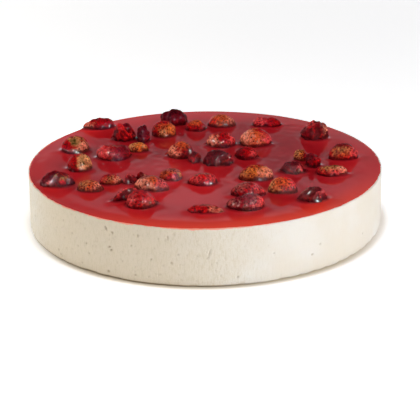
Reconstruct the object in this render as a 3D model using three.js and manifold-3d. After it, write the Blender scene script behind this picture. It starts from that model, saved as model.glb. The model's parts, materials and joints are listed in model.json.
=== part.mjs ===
// A round cream cheesecake, whole and uncut: a pale set-cream body, a thin red jelly
// glaze over its top, and small wild strawberries half sunk in the jelly.
// Millimetres, +Z up, origin at the centre of the base, front towards -Y.

import * as THREE from 'three';
import { ConvexGeometry } from 'three/addons/geometries/ConvexGeometry.js';
import { mergeVertices } from 'three/addons/utils/BufferGeometryUtils.js';
import Module from 'manifold-3d';

const wasm = await Module();
wasm.setup();

// Driving dimensions
const CAKE_RADIUS = 130;
const CAKE_HEIGHT = 41;
const GLAZE_THICKNESS = 1.9;
const LAYER_GAP = 0.3;
const AROUND = 80;

// The cream's side is nearly straight, with a worn foot and a slightly uneven wall
const FOOT_ROUNDING = 0.9;
const CREAM_SHOULDER = 0.5;
const WALL_UNEVENNESS = 0.22;
const WALL_WAVES = [3, 7, 16];
const WALL_PHASE = 0.8;

// The jelly falls a little towards its rim and ends in a rounded edge
const GLAZE_RADIUS = CAKE_RADIUS - 0.6;
const GLAZE_EDGE_ROUNDING = 1.1;
const GLAZE_EDGE_STEPS = 2;
const GLAZE_FALL = 0.35;
const GLAZE_FALL_WIDTH = 9;
const RIM_UNEVENNESS = 0.3;
const RIM_PHASE = 2.1;

// A berry is widest a little above the jelly and reaches a little way down into it, to a
// flat sole: a larger sole number gives a wider flat
const BERRY_SINK = 1;
const BERRY_WAIST = 0.2;
const BERRY_SOLE = 1.6;
const POCKET_CLEARANCE = 0.35;
const POCKET_LIP = 1;
const LUMP_WAVES = [3.1, 3.7, 4.3];
const FOLD_WAVES = [3, 2];
const FOLD_MEAN = 0.6;
const PINCH_WIDTH = 0.25;
const WELD_DISTANCE = 1e-4;

// Finishes
const CREAM = { color: 0xe9dfcc, roughness: 0.85 };
const GLAZE = { color: 0xb3262b, roughness: 0.12 };
const RIPE = { color: 0xa0202a, roughness: 0.25 };
const PALE = { color: 0xc98450, roughness: 0.25 };
const DARK = { color: 0x4a0d1a, roughness: 0.25 };

// How a berry's skin has settled: taper narrows it from the hull end to the tip, pit sinks
// the hull end, waist pinches it across the middle, and lump and fold roughen its outline
const FORMS = {
  plump: { detail: 2, taper: 0.28, pit: 0.08, pitWidth: 0.1, waist: 0, lump: 0.03, fold: 0 },
  hollow: { detail: 3, taper: 0.2, pit: 0.42, pitWidth: 0.16, waist: 0, lump: 0.04, fold: 0 },
  crumpled: { detail: 2, taper: 0.22, pit: 0.12, pitWidth: 0.2, waist: 0, lump: 0.07, fold: 0.14 },
  flat: { detail: 2, taper: 0.18, pit: 0.05, pitWidth: 0.2, waist: 0, lump: 0.05, fold: 0.05 },
  split: { detail: 2, taper: 0.1, pit: 0.05, pitWidth: 0.1, waist: 0.22, lump: 0.03, fold: 0 },
};

// Each berry: centre on the jelly, length across, breadth, rise above the jelly, the turn of
// its length from +X, and the bearing and tilt that its hull end faces, all in degrees
const BERRIES = [
  { at: [-84.5, 84.5], size: [24, 13, 8], turn: 10, hull: [0, 10], form: 'plump', skin: RIPE },
  { at: [-98, 29], size: [20, 20, 10.5], turn: 0, hull: [-90, 55], form: 'hollow', skin: RIPE },
  { at: [-91, -13.5], size: [17, 17, 11.5], turn: 0, hull: [-30, 35], form: 'hollow', skin: PALE },
  { at: [-103.5, -44], size: [25, 20, 10], turn: -8, hull: [30, 45], form: 'crumpled', skin: RIPE },
  { at: [-80, -57], size: [18, 13, 7], turn: -15, hull: [180, 15], form: 'plump', skin: PALE },
  { at: [-66.5, -44], size: [15.5, 12, 6.5], turn: 20, hull: [0, 20], form: 'flat', skin: RIPE },
  { at: [-68, 12], size: [24, 21, 10.5], turn: 0, hull: [90, 70], form: 'hollow', skin: RIPE },
  { at: [-62.5, 55], size: [18, 17, 12.5], turn: 0, hull: [180, 10], form: 'crumpled', skin: RIPE },
  { at: [-47.5, 50], size: [10, 17, 12], turn: 0, hull: [60, 30], form: 'crumpled', skin: DARK },
  { at: [-50, 26], size: [15, 11, 6.5], turn: 0, hull: [180, 5], form: 'flat', skin: PALE },
  { at: [-32, 64], size: [18.5, 18, 11], turn: 0, hull: [90, 20], form: 'plump', skin: PALE },
  { at: [-24.5, 95], size: [21.5, 20, 11.5], turn: 0, hull: [60, 50], form: 'crumpled', skin: DARK },
  { at: [-7, 77], size: [15, 13, 8], turn: 0, hull: [30, 20], form: 'plump', skin: RIPE },
  { at: [-18, 13.5], size: [18.5, 17, 11], turn: 0, hull: [150, 40], form: 'plump', skin: PALE },
  { at: [-7.5, 1], size: [9, 12, 8.5], turn: 0, hull: [-90, 10], form: 'plump', skin: RIPE },
  { at: [10, -4], size: [22, 17, 10], turn: 0, hull: [20, 40], form: 'crumpled', skin: DARK },
  { at: [-53, -43], size: [9, 9, 5], turn: 0, hull: [160, 20], form: 'crumpled', skin: RIPE },
  { at: [-37, -56], size: [23.5, 15, 9], turn: -15, hull: [160, 20], form: 'plump', skin: PALE },
  { at: [-24.5, -36.5], size: [15.5, 13, 7.5], turn: 10, hull: [150, 40], form: 'flat', skin: PALE },
  { at: [-43, -87], size: [20, 18, 10], turn: 0, hull: [170, 20], form: 'plump', skin: RIPE },
  { at: [-56, -75], size: [19, 8, 6.5], turn: 38, hull: [40, 10], form: 'crumpled', skin: DARK },
  { at: [-2, -46], size: [20, 15, 7], turn: 0, hull: [0, 15], form: 'plump', skin: RIPE },
  { at: [0, -100], size: [23, 11, 4.5], turn: -4, hull: [180, 10], form: 'flat', skin: RIPE },
  { at: [14, 88], size: [21.5, 17, 8.5], turn: 0, hull: [180, 20], form: 'plump', skin: PALE },
  { at: [50, 87], size: [22, 14, 6.5], turn: 0, hull: [180, 0], form: 'split', skin: RIPE },
  { at: [12.5, 38], size: [21, 18, 10], turn: 0, hull: [100, 30], form: 'plump', skin: RIPE },
  { at: [39, 39], size: [23, 18, 12], turn: 0, hull: [70, 20], form: 'plump', skin: PALE },
  { at: [31, 8], size: [16, 15, 8], turn: 0, hull: [90, 30], form: 'plump', skin: DARK },
  { at: [85.5, 54], size: [21, 19, 13.5], turn: 0, hull: [130, 50], form: 'crumpled', skin: PALE },
  { at: [102.5, 6], size: [22, 17, 10.5], turn: 10, hull: [30, 30], form: 'plump', skin: PALE },
  { at: [70.5, 2], size: [10, 10, 8], turn: 0, hull: [90, 40], form: 'plump', skin: PALE },
  { at: [78.5, -12], size: [11, 13, 10], turn: 0, hull: [60, 50], form: 'crumpled', skin: DARK },
  { at: [63, -24.5], size: [18.5, 14, 8], turn: 0, hull: [0, 30], form: 'crumpled', skin: DARK },
  { at: [90.5, -29.5], size: [21, 15, 7], turn: 3, hull: [100, 60], form: 'hollow', skin: RIPE },
  { at: [36, -36.5], size: [23.5, 17, 9.5], turn: 0, hull: [20, 15], form: 'plump', skin: PALE },
  { at: [53.5, -63], size: [19.5, 16, 10], turn: 0, hull: [150, 20], form: 'plump', skin: RIPE },
  { at: [29.5, -69.5], size: [23, 14, 8.5], turn: 0, hull: [180, 25], form: 'plump', skin: RIPE },
  { at: [26.5, -93.5], size: [25.5, 18, 10], turn: 0, hull: [140, 60], form: 'hollow', skin: RIPE },
  { at: [72.5, -80.5], size: [20.5, 15, 9], turn: 20, hull: [160, 30], form: 'crumpled', skin: DARK },
  { at: [-45, -37], size: [6.5, 6, 4], turn: 0, hull: [90, 20], form: 'crumpled', skin: RIPE },
];

// Air bubbles left open in the cream's side: bearing from the front in degrees, height, width
const BUBBLES = [
  { bearing: -30, height: 33.5, width: 3.4 },
  { bearing: -20, height: 32.6, width: 2.8 },
  { bearing: -11, height: 33.4, width: 2.4 },
  { bearing: -29, height: 20.8, width: 3 },
  { bearing: -38, height: 20.1, width: 1.8 },
  { bearing: -30, height: 4.2, width: 2.2 },
  { bearing: 1, height: 23.8, width: 4.2 },
  { bearing: -10, height: 16.1, width: 2 },
  { bearing: 46, height: 13.1, width: 2 },
];
const BUBBLE_DEPTH = 0.35;

// Small seeded number source, so each berry keeps its own lumps
function numberSource(seed) {
  let state = seed;
  return () => {
    state = (state * 1664525 + 1013904223) % 4294967296;
    return state / 4294967296;
  };
}

// The geometry with its shared corners merged and only positions left
function weld(geometry) {
  geometry.deleteAttribute('normal');
  geometry.deleteAttribute('uv');
  return mergeVertices(geometry, WELD_DISTANCE);
}

// A closed solid from a geometry, without the collapsed triangles that a pole leaves
function toSolid(geometry) {
  const welded = weld(geometry);
  const corners = welded.index.array;
  const kept = [];
  for (let i = 0; i < corners.length; i += 3) {
    const [a, b, c] = corners.slice(i, i + 3);
    if (a !== b && b !== c && c !== a) {
      kept.push(a, b, c);
    }
  }
  return new wasm.Manifold(new wasm.Mesh({
    numProp: 3,
    vertProperties: new Float32Array(welded.attributes.position.array),
    triVerts: Uint32Array.from(kept),
  }));
}

function toGeometry(solid) {
  const mesh = solid.getMesh();
  const geometry = new THREE.BufferGeometry();
  geometry.setAttribute('position', new THREE.BufferAttribute(mesh.vertProperties, 3));
  geometry.setIndex(new THREE.BufferAttribute(mesh.triVerts, 1));
  geometry.computeVertexNormals();
  return geometry;
}

// A turned solid about +Z whose radius is eased in and out by a wave around it
function turned(profile, waviness, phase) {
  const geometry = new THREE.LatheGeometry(profile, AROUND).rotateX(Math.PI / 2);
  const points = geometry.attributes.position;
  for (let i = 0; i < points.count; i += 1) {
    const x = points.getX(i);
    const y = points.getY(i);
    const angle = Math.atan2(y, x);
    const wave = WALL_WAVES.reduce((sum, count, order) => sum + Math.sin(count * angle + order * phase), 0);
    const stretch = 1 + (waviness * wave) / WALL_WAVES.length / CAKE_RADIUS;
    points.setXY(i, x * stretch, y * stretch);
  }
  return geometry;
}

function bubbleSolid({ bearing, height, width }) {
  const angle = THREE.MathUtils.degToRad(bearing - 90);
  const distance = CAKE_RADIUS + width / 2 - BUBBLE_DEPTH * width;
  const bubble = new THREE.IcosahedronGeometry(width / 2, 1);
  bubble.translate(distance * Math.cos(angle), distance * Math.sin(angle), height);
  return toSolid(bubble);
}

function creamGeometry() {
  const top = CAKE_HEIGHT - GLAZE_THICKNESS - LAYER_GAP;
  const profile = [
    new THREE.Vector2(0, 0),
    new THREE.Vector2(CAKE_RADIUS - FOOT_ROUNDING, 0),
    new THREE.Vector2(CAKE_RADIUS, FOOT_ROUNDING),
    new THREE.Vector2(CAKE_RADIUS, top - CREAM_SHOULDER),
    new THREE.Vector2(CAKE_RADIUS - CREAM_SHOULDER, top),
    new THREE.Vector2(0, top),
  ];
  let solid = toSolid(turned(profile, WALL_UNEVENNESS, WALL_PHASE));
  for (const bubble of BUBBLES) {
    solid = solid.subtract(bubbleSolid(bubble));
  }
  return toGeometry(solid);
}

// Where a berry's hull end faces, as a unit vector
function hullDirection([bearing, tilt]) {
  const turn = THREE.MathUtils.degToRad(bearing);
  const lift = THREE.MathUtils.degToRad(tilt);
  return new THREE.Vector3(Math.cos(turn) * Math.cos(lift), Math.sin(turn) * Math.cos(lift), Math.sin(lift));
}

// Moves a point of the unit sphere to the berry's outline, before it is sized
function shapePoint(point, hull, form, phases) {
  const along = point.dot(hull);
  const across = point.clone().addScaledVector(hull, -along);
  const narrowing = 1 - form.taper * ((1 - along) / 2) ** 2;
  const pinch = 1 - form.waist * Math.exp(-((along / PINCH_WIDTH) ** 2));
  const pit = form.pit * Math.exp(-(1 - along) / form.pitWidth);
  const places = point.toArray();
  const lumps = LUMP_WAVES.reduce((sum, wave, axis) => sum + Math.sin(wave * places[axis] + phases[axis]), 0);
  const ripple = Math.sin(FOLD_WAVES[0] * point.x + FOLD_WAVES[1] * point.y + phases[3]);
  const crease = Math.abs(ripple) - FOLD_MEAN;
  const reach = 1 - pit + (form.lump * lumps) / LUMP_WAVES.length + form.fold * crease;
  const flattened = point.z < 0 ? -Math.cbrt(1 - Math.min(1, Math.hypot(point.x, point.y)) ** 3) : point.z;
  const shaped = across.multiplyScalar(narrowing * pinch).addScaledVector(hull, along);
  shaped.z += flattened - point.z;
  return shaped.multiplyScalar(reach);
}

// A berry's geometry about its centre at jelly level, grown outwards on every side
function berryGeometry(berry, seed, grown = 0) {
  const form = FORMS[berry.form];
  const random = numberSource(seed);
  const phases = Array.from({ length: 4 }, () => 2 * Math.PI * random());
  const [length, breadth, rise] = berry.size;
  const geometry = weld(new THREE.IcosahedronGeometry(1, form.detail));
  const turn = THREE.MathUtils.degToRad(berry.turn);
  const hull = hullDirection(berry.hull).applyAxisAngle(new THREE.Vector3(0, 0, 1), -turn);
  const points = geometry.attributes.position;
  for (let i = 0; i < points.count; i += 1) {
    const shaped = shapePoint(new THREE.Vector3().fromBufferAttribute(points, i), hull, form, phases);
    points.setXYZ(i, shaped.x, shaped.y, shaped.z);
  }
  geometry.computeBoundingBox();
  const { min, max } = geometry.boundingBox;
  geometry.translate(-(min.x + max.x) / 2, -(min.y + max.y) / 2, 0);
  geometry.scale((length + 2 * grown) / (max.x - min.x), (breadth + 2 * grown) / (max.y - min.y), 1);
  const waist = BERRY_WAIST * rise;
  for (let i = 0; i < points.count; i += 1) {
    const z = points.getZ(i);
    const above = waist + (z / max.z) * (rise + grown - waist);
    const below = waist - Math.min(1, BERRY_SOLE * (z / min.z)) * (waist + BERRY_SINK + grown);
    points.setZ(i, z > 0 ? above : below);
  }
  geometry.rotateZ(turn);
  return geometry;
}

function berryName(index) {
  return `berry_${String(index + 1).padStart(2, '0')}`;
}

function berryPlace(berry) {
  return [berry.at[0], berry.at[1], CAKE_HEIGHT];
}

// The recess that a berry sits in: its outline from above, straight down to a floor
function pocketSolid(berry, seed) {
  const geometry = berryGeometry(berry, seed, POCKET_CLEARANCE);
  const points = geometry.attributes.position;
  const corners = [];
  for (let i = 0; i < points.count; i += 1) {
    corners.push(new THREE.Vector3(points.getX(i), points.getY(i), -BERRY_SINK - POCKET_CLEARANCE));
    corners.push(new THREE.Vector3(points.getX(i), points.getY(i), POCKET_LIP));
  }
  return toSolid(new ConvexGeometry(corners).translate(...berryPlace(berry)));
}

function glazeGeometry() {
  const bottom = CAKE_HEIGHT - GLAZE_THICKNESS;
  const edgeTop = CAKE_HEIGHT - GLAZE_FALL;
  const profile = [new THREE.Vector2(0, bottom), new THREE.Vector2(GLAZE_RADIUS, bottom)];
  for (let step = 0; step <= GLAZE_EDGE_STEPS; step += 1) {
    const angle = (step / GLAZE_EDGE_STEPS) * (Math.PI / 2);
    profile.push(new THREE.Vector2(
      GLAZE_RADIUS - GLAZE_EDGE_ROUNDING * (1 - Math.cos(angle)),
      edgeTop - GLAZE_EDGE_ROUNDING * (1 - Math.sin(angle)),
    ));
  }
  profile.push(new THREE.Vector2(GLAZE_RADIUS - GLAZE_FALL_WIDTH, CAKE_HEIGHT));
  profile.push(new THREE.Vector2(0, CAKE_HEIGHT));
  let solid = toSolid(turned(profile, RIM_UNEVENNESS, RIM_PHASE));
  BERRIES.forEach((berry, index) => {
    solid = solid.subtract(pocketSolid(berry, index + 1));
  });
  return toGeometry(solid);
}

function addMesh(group, name, geometry, finish) {
  const mesh = new THREE.Mesh(geometry, new THREE.MeshStandardMaterial({ ...finish, metalness: 0 }));
  mesh.name = name;
  group.add(mesh);
  return mesh;
}

const cake = new THREE.Group();
addMesh(cake, 'cream_body', creamGeometry(), CREAM);
addMesh(cake, 'jelly_glaze', glazeGeometry(), GLAZE);
BERRIES.forEach((berry, index) => {
  const geometry = berryGeometry(berry, index + 1);
  addMesh(cake, berryName(index), geometry, berry.skin).position.set(...berryPlace(berry));
});

export default cake;
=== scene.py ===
"""A round cream cheesecake under red jelly, with small wild strawberries set in the jelly.

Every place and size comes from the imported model, whose nodes these pieces stand for. The
cream body gets its pores, dents and worn foot, the jelly gets its soft level and the skin
that climbs each berry, and each strawberry gets its own settled shape, colours and pips.
"""

import json
import logging
import math
from dataclasses import dataclass
from enum import Enum

import bmesh
import bpy
import numpy as np
from mathutils import Matrix, Vector


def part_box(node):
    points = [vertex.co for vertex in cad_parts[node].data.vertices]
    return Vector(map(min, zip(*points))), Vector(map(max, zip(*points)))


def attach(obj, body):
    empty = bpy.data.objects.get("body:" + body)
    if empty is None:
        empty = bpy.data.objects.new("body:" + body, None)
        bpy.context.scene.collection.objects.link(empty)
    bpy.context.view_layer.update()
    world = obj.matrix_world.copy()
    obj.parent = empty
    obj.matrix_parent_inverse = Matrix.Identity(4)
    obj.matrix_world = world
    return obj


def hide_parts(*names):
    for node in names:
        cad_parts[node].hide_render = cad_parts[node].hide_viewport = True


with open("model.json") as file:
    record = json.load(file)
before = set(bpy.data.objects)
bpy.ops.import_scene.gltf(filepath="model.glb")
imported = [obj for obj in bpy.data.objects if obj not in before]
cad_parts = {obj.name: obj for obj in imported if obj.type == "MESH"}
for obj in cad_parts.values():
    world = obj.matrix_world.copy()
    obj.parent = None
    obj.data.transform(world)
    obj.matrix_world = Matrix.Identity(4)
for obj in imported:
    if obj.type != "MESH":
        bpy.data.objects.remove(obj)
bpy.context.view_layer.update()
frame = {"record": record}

log = logging.getLogger("cheesecake")

MM = 0.001
ACROSS = np.array([1.0, 0.0, 0.0])
UP = (0, 0, 1)
BODY = "root"

Triple = tuple[float, float, float]
Pair = tuple[float, float]
Shade = tuple[int, int, int]
Socket = bpy.types.NodeSocket


def to_linear(byte: int) -> float:
    """Turns one colour channel from screen value to light.

    Args:
        byte: The channel as a screen shows it, from 0 to 255.

    Returns:
        The same channel as linear light, from 0 to 1.
    """
    value = byte / 255
    return value / 12.92 if value <= 0.04045 else ((value + 0.055) / 1.055) ** 2.4


def opaque(tone: Shade) -> tuple[float, float, float, float]:
    """Gives a screen colour as linear light with full cover."""
    return (*[to_linear(byte) for byte in tone], 1.0)


def direction(bearing: float, tilt: float) -> np.ndarray:
    """Gives a unit vector.

    Args:
        bearing: Degrees round from +X, so that -90 faces the front.
        tilt: Degrees above the level.

    Returns:
        The vector, as three numbers.
    """
    turn, lift = math.radians(bearing), math.radians(tilt)
    return np.array([math.cos(turn) * math.cos(lift), math.sin(turn) * math.cos(lift), math.sin(lift)])


def eased(value: np.ndarray, low: float, high: float) -> np.ndarray:
    """Rises smoothly from 0 at low to 1 at high.

    Args:
        value: The numbers to ease.
        low: Where the rise starts.
        high: Where it ends.

    Returns:
        The eased numbers.
    """
    part = np.clip((value - low) / (high - low), 0, 1)
    return part * part * (3 - 2 * part)


def turned(points: np.ndarray, degrees: float) -> np.ndarray:
    """Turns points about the upright axis.

    Args:
        points: Rows of two or three numbers, or one such row.
        degrees: The turn, anticlockwise from above.

    Returns:
        The turned points.
    """
    turn = math.radians(degrees)
    moved = points.copy()
    moved[..., 0] = points[..., 0] * math.cos(turn) - points[..., 1] * math.sin(turn)
    moved[..., 1] = points[..., 0] * math.sin(turn) + points[..., 1] * math.cos(turn)
    return moved


class Tone(Enum):
    """A colour of berry flesh or skin, as a screen shows it."""

    INK = (62, 0, 5)
    WINE = (92, 2, 12)
    PLUM = (126, 8, 20)
    CRIMSON = (170, 8, 14)
    SCARLET = (212, 22, 24)
    # Rose and peach stand partly for paler flesh and partly for painted sheen of the side lamps; ash stands for a
    # painted reflection of the light above.
    ROSE = (218, 66, 66)
    PEACH = (240, 138, 108)
    ORANGE = (200, 76, 38)
    AMBER = (212, 104, 42)
    TAN = (214, 142, 88)
    OLIVE = (176, 106, 62)
    MOSS = (72, 58, 10)
    ASH = (160, 74, 68)

    @property
    def light(self) -> np.ndarray:
        """The tone as linear light."""
        return np.array([to_linear(byte) for byte in self.value])


INK, WINE, PLUM, CRIMSON, SCARLET, ROSE, PEACH, ORANGE, AMBER, TAN, OLIVE, MOSS, ASH = Tone


@dataclass(frozen=True)
class Ripples:
    """A smooth field of plane waves in scattered directions: its seed, wavelength and stretch."""

    seed: int
    wavelength: float
    stretch: Triple = (1, 1, 1)
    WAVES = 16
    SPREAD = (0.7, 1.5)

    def at(self, points: np.ndarray) -> np.ndarray:
        """Gives the field's value, mostly within -1 and 1.

        Args:
            points: One row for each place.

        Returns:
            The value at each place.
        """
        draw = np.random.default_rng(self.seed)
        ways = draw.normal(size=(self.WAVES, 3))
        ways /= np.linalg.norm(ways, axis=1, keepdims=True)
        lengths = self.wavelength * draw.uniform(*self.SPREAD, size=(self.WAVES, 1))
        ways = 2 * math.pi * ways / lengths / np.array(self.stretch)
        phases = draw.uniform(0, 2 * math.pi, size=self.WAVES)
        return np.sin(points @ ways.T + phases).sum(axis=1) / math.sqrt(self.WAVES)


@dataclass(frozen=True)
class Relief:
    """Ripples with the height of their crests."""

    height: float
    ripples: Ripples

    def at(self, points: np.ndarray) -> np.ndarray:
        """Gives the relief's height at each point."""
        return self.height * self.ripples.at(points)


@dataclass(frozen=True)
class Waver:
    """How a round edge strays from its circle, as its solid does: the reach, the waves and their phase."""

    reach: float
    phase: float
    waves: tuple[int, ...] = (3, 7, 16)

    def at(self, angle: np.ndarray) -> np.ndarray:
        """Gives how far out the edge lies at each angle."""
        total = sum(np.sin(count * angle + order * self.phase) for order, count in enumerate(self.waves))
        return self.reach * total / len(self.waves)


@dataclass(frozen=True)
class Noise:
    """Cloudy noise: clouds to the metre, finer layers, their strength, and the scale along each axis."""

    scale: float
    detail: float = 3
    roughness: float = 0.5
    stretch: Triple = (1, 1, 1)


@dataclass(frozen=True)
class Span:
    """An eased ramp: the source's two ends, and what each of them becomes."""

    low: float
    high: float
    start: float = 0
    end: float = 1


@dataclass(frozen=True)
class Flesh:
    """How light enters a finish: its share, and its reach in red, green and blue."""

    weight: float
    radius: Triple
    scale: float

    @property
    def sockets(self) -> dict[str, object]:
        """What the shader is told."""
        return {"Subsurface_Weight": self.weight, "Subsurface_Radius": self.radius,
                "Subsurface_Scale": self.scale}


class Graph:
    """A node tree, with short ways to add to it."""

    def __init__(self, tree: bpy.types.NodeTree) -> None:
        """Takes the tree that grows."""
        self.tree = tree

    def add(self, kind: str, settings: dict[str, object] | None = None, **values: object) -> bpy.types.Node:
        """Adds a node.

        Args:
            kind: The node's type.
            settings: Properties of the node itself.
            values: Socket values or sockets to link, with underscores for spaces in their names.

        Returns:
            The new node.
        """
        node = self.tree.nodes.new(kind)
        for key, value in (settings or {}).items():
            setattr(node, key, value)
        for key, value in values.items():
            self.feed(node.inputs[key.replace("_", " ")], value)
        return node

    def feed(self, socket: Socket, value: object) -> None:
        """Links a socket to another, or sets its value.

        Args:
            socket: The socket that is fed.
            value: Another node's output, or a plain value.
        """
        if isinstance(value, Socket):
            self.tree.links.new(value, socket)
        else:
            socket.default_value = value

    def reckon(self, operation: str, *values: Socket | float) -> Socket:
        """Works one number out from others.

        Args:
            operation: The kind of sum.
            values: Its numbers or outputs, in order.

        Returns:
            The result.
        """
        node = self.add("ShaderNodeMath", {"operation": operation})
        for socket, value in zip(node.inputs, values):
            self.feed(socket, value)
        return node.outputs[0]


class Recipe(Graph):
    """One material's node tree, built round a principled shader."""

    FACTOR, FIRST, SECOND, RESULT = 0, 6, 7, 2

    def __init__(self, name: str) -> None:
        """Starts the material with its shader and its object coordinates.

        Args:
            name: The material's name.
        """
        self.material = bpy.data.materials.new(name)
        self.material.use_nodes = True
        super().__init__(self.material.node_tree)
        self.shader = self.tree.nodes["Principled BSDF"]
        self.place = self.add("ShaderNodeTexCoord").outputs["Object"]

    def noise(self, noise: Noise) -> Socket:
        """Gives cloudy noise from 0 to 1.

        Args:
            noise: Its kind.

        Returns:
            The noise's output.
        """
        placed = self.add("ShaderNodeMapping", Vector=self.place, Scale=noise.stretch)
        clouds = self.add("ShaderNodeTexNoise", Vector=placed.outputs[0], Scale=noise.scale,
                          Detail=noise.detail, Roughness=noise.roughness)
        return clouds.outputs["Fac"]

    def vector(self, operation: str, first: Socket, second: Triple = (0, 0, 0)) -> bpy.types.Node:
        """Adds a sum on vectors.

        Args:
            operation: The kind of sum.
            first: The vector that it takes.
            second: A fixed second vector.

        Returns:
            The node.
        """
        node = self.add("ShaderNodeVectorMath", {"operation": operation})
        self.feed(node.inputs[0], first)
        self.feed(node.inputs[1], second)
        return node

    def along(self, way: Triple) -> Socket:
        """Gives how far each point lies along a way."""
        return self.vector("DOT_PRODUCT", self.place, way).outputs["Value"]

    def distance(self, middle: Triple = (0, 0, 0)) -> Socket:
        """Gives the level distance from a place.

        Args:
            middle: The place.

        Returns:
            The distance's output.
        """
        shifted = self.vector("SUBTRACT", self.place, middle).outputs[0]
        level = self.vector("MULTIPLY", shifted, (1, 1, 0)).outputs[0]
        return self.vector("LENGTH", level).outputs["Value"]

    def painted(self, name: str, output: str = "Fac") -> Socket:
        """Reads what a piece's points are painted with."""
        return self.add("ShaderNodeAttribute", {"attribute_name": name}).outputs[output]

    def product(self, first: Socket, second: Socket) -> Socket:
        """Multiplies two values."""
        return self.reckon("MULTIPLY", first, second)

    def ramp(self, source: Socket, span: Span) -> Socket:
        """Maps a span of a value to another, eased and held at its ends.

        Args:
            source: The value.
            span: The ramp.

        Returns:
            The mapped value.
        """
        node = self.add("ShaderNodeMapRange", {"interpolation_type": "SMOOTHSTEP"}, Value=source,
                        From_Min=span.low, From_Max=span.high, To_Min=span.start, To_Max=span.end)
        return node.outputs[0]

    def blend(self, factor: object, first: object, second: object, how: str = "MIX") -> Socket:
        """Mixes two colours.

        Args:
            factor: The second's share.
            first: The colour under it.
            second: The colour laid over.
            how: The way of mixing.

        Returns:
            The mixed colour.
        """
        node = self.add("ShaderNodeMix", {"data_type": "RGBA", "blend_type": how})
        for index, value in ((self.FACTOR, factor), (self.FIRST, first), (self.SECOND, second)):
            self.feed(node.inputs[index], value)
        return node.outputs[self.RESULT]

    def relief(self, height: Socket, depth: float, **under: Socket) -> Socket:
        """Gives a bumped normal.

        Args:
            height: The relief, from 0 to 1.
            depth: What 1 stands for, in metres.
            under: A Normal that this relief is laid over.

        Returns:
            The bumped normal.
        """
        node = self.add("ShaderNodeBump", Height=height, Distance=depth, Strength=1.0, **under)
        return node.outputs[0]

    def finish(self, **values: object) -> bpy.types.Material:
        """Sets or links the shader's sockets.

        Args:
            values: What each socket gets, with underscores for spaces in their names.

        Returns:
            The material.
        """
        for key, value in values.items():
            self.feed(self.shader.inputs[key.replace("_", " ")], value)
        return self.material


@dataclass(frozen=True)
class CreamFinish:
    """Pale set cream: matt, faintly drawn down its side, with painted shade on its front-left side, in its dents
    and along its foot, and a pink line where it meets the jelly, partly jelly colour soaked in and partly painted
    glow.
    """

    pale: Shade = (225, 220, 210)
    deep: Shade = (221, 213, 198)
    clouds: Noise = Noise(26, 4)
    cloud_span: Span = Span(0.35, 0.65)
    # Painted shade: the cream is made darker and warmer towards its front-left side.
    warm: Shade = (216, 203, 182)
    warm_side: Triple = (-0.545, -0.839, 0)
    warm_span: Span = Span(98 * MM, 127 * MM)
    smooth_side: Triple = (0.94, -0.342, 0)
    rough_span: Span = Span(42 * MM, 95 * MM, 1, 0.08)
    shade: Shade = (206, 194, 168)
    grain: Noise = Noise(1900, 3, 0.6)
    grain_span: Span = Span(0.5, 0.64, 0, 0.6)
    grain_depth: float = 0.05 * MM
    drawn: Noise = Noise(1150, 3, 0.6, (1, 1, 0.22))
    drawn_span: Span = Span(0.5, 0.62, 0, 0.6)
    drawn_depth: float = 0.2 * MM
    # Painted contact shadow: a dark line along the foot, mostly on the rough side.
    foot: Shade = (132, 110, 76)
    foot_span: Span = Span(0.3 * MM, 1.8 * MM, 0.85, 0)
    # Painted shade in the dents and pores.
    hollow: Shade = (150, 126, 92)
    # A pink line just under the jelly: partly jelly colour soaked into the cream, partly painted glow of light
    # coming through the jelly.
    stain: Shade = (250, 160, 136)
    stain_clouds: Noise = Noise(90, 4, 0.75)
    stain_wander: float = 4 * MM
    stain_span: Span = Span(42.1 * MM, 42.5 * MM)
    roughness: float = 0.62
    shine: float = 0.02
    flesh: Flesh = Flesh(0.2, (1.0, 0.75, 0.5), 1.2 * MM)

    def material(self) -> bpy.types.Material:
        """Makes the finish.

        Returns:
            The material.
        """
        made = Recipe("cream")
        height = made.along(UP)
        drawn, grain = made.noise(self.drawn), made.noise(self.grain)
        rough = made.ramp(made.along(self.smooth_side), self.rough_span)
        clouds = made.ramp(made.noise(self.clouds), self.cloud_span)
        mixed = made.blend(clouds, opaque(self.pale), opaque(self.deep))
        # Painted shade: darker and warmer towards the front-left side.
        colour = made.blend(made.ramp(made.along(self.warm_side), self.warm_span), mixed, opaque(self.warm))
        specks = made.product(made.ramp(grain, self.grain_span), rough)
        streaks = made.product(made.ramp(drawn, self.drawn_span), rough)
        # Painted contact shadow along the foot.
        low = made.product(made.ramp(height, self.foot_span), rough)
        # Pink line under the jelly: partly soaked-in jelly colour, partly painted glow.
        wander = made.reckon("MULTIPLY_ADD", made.noise(self.stain_clouds), self.stain_wander, height)
        stained = made.product(made.ramp(wander, self.stain_span), rough)
        layers = ((specks, self.shade), (streaks, self.shade), (low, self.foot),
                  (made.painted(CreamBody.HOLLOW), self.hollow), (stained, self.stain))
        for share, tone in layers:
            colour = made.blend(share, colour, opaque(tone))
        grained = made.relief(made.product(grain, rough), self.grain_depth)
        bumped = made.relief(made.product(drawn, rough), self.drawn_depth, Normal=grained)
        return made.finish(Base_Color=colour, Roughness=self.roughness, Normal=bumped,
                           Specular_IOR_Level=self.shine, **self.flesh.sockets)


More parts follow.
